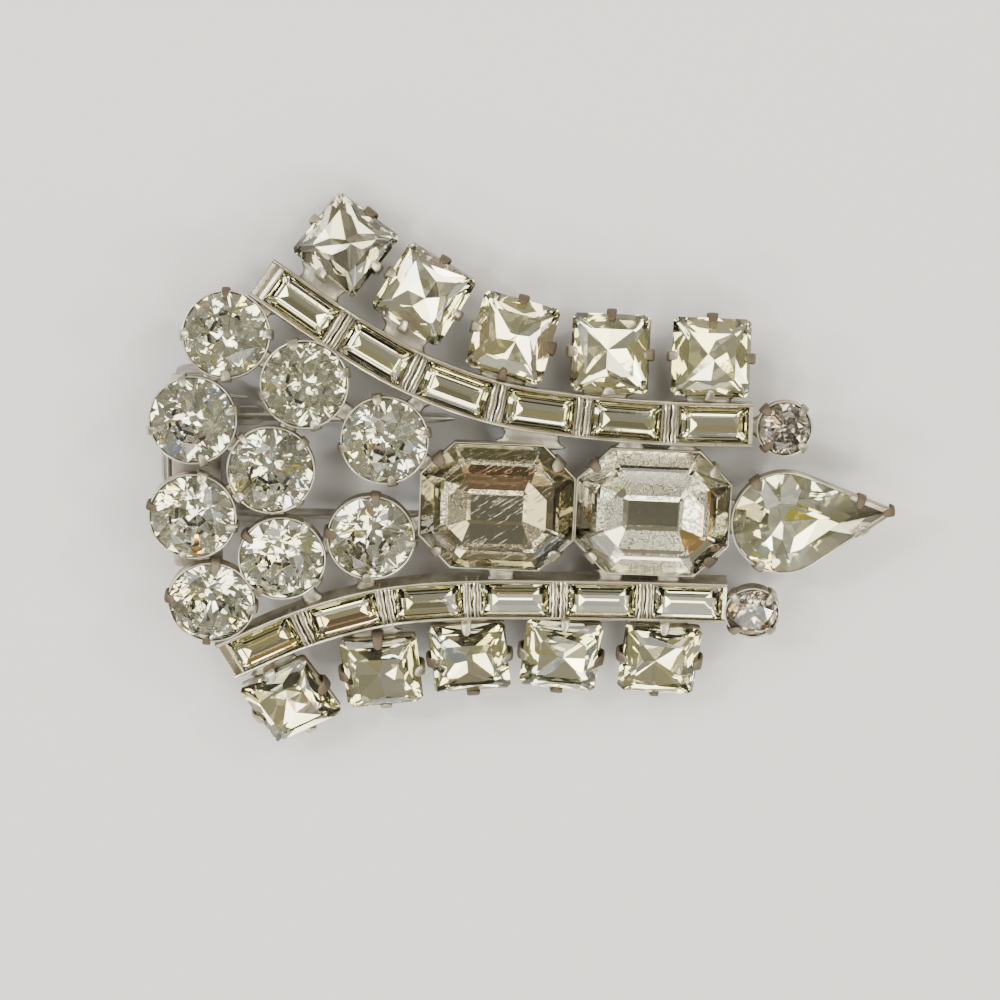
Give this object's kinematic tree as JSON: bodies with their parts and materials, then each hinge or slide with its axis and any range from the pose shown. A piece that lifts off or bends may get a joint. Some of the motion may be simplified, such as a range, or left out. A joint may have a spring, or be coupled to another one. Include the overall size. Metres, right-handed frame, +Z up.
{
  "type": "dress clip",
  "caption": "Rhinestone dress clip: a fan of rounds, two channel bars with claw-set squares, octagons and a pear, and a sprung two-pronged fork behind.",
  "frame": {"origin": "middle of the clip's box on the surface that it lies on", "axes": "+X from the fan towards the pear's point, +Y across the face, +Z up, out of the face"},
  "size_m": [0.0578, 0.0438, 0.0089],
  "materials": {
    "clear_stone": "faceted and polished, foil behind",
    "straw_stone": "faceted and polished, foil behind",
    "smoky_stone": "faceted and polished, tarnished foil behind",
    "setting_metal": "worn silver-coloured plating with warm tarnish",
    "fork_metal": "satin, lightly tarnished"
  },
  "bodies": {
    "clip": {"round_stone_1": "clear_stone", "round_stone_2": "clear_stone", "round_stone_3": "clear_stone", "round_stone_4": "clear_stone", "round_stone_5": "clear_stone", "round_stone_6": "clear_stone", "round_stone_7": "clear_stone", "round_stone_8": "clear_stone", "round_stone_9": "clear_stone", "pear_stone": "clear_stone", "square_stone_1": "straw_stone", "square_stone_2": "straw_stone", "square_stone_3": "straw_stone", "square_stone_4": "straw_stone", "square_stone_5": "straw_stone", "square_stone_6": "straw_stone", "square_stone_7": "straw_stone", "square_stone_8": "straw_stone", "square_stone_9": "straw_stone", "square_stone_10": "straw_stone", "baguette_1": "straw_stone", "baguette_2": "straw_stone", "baguette_3": "straw_stone", "baguette_4": "straw_stone", "baguette_5": "straw_stone", "baguette_6": "straw_stone", "baguette_7": "straw_stone", "baguette_8": "straw_stone", "baguette_9": "straw_stone", "baguette_10": "straw_stone", "baguette_11": "straw_stone", "baguette_12": "straw_stone", "octagon_stone_1": "smoky_stone", "octagon_stone_2": "smoky_stone", "small_round_1": "smoky_stone", "small_round_2": "smoky_stone", "setting": "setting_metal", "hinge_pin": "fork_metal"},
    "fork": {"fork": "fork_metal", "hinge_spring": "fork_metal"}
  },
  "joints": [
    {"name": "fork_hinge", "type": "hinge", "parent": "clip", "child": "fork", "pos_m": [-0.02571, 0.00033, 0.00153], "axis": [0.0023, 0.9994, 0.0357], "range_deg": [0, 25], "stiffness_Nm_per_rad": 0.005, "springref_deg": -22.92}
  ]
}
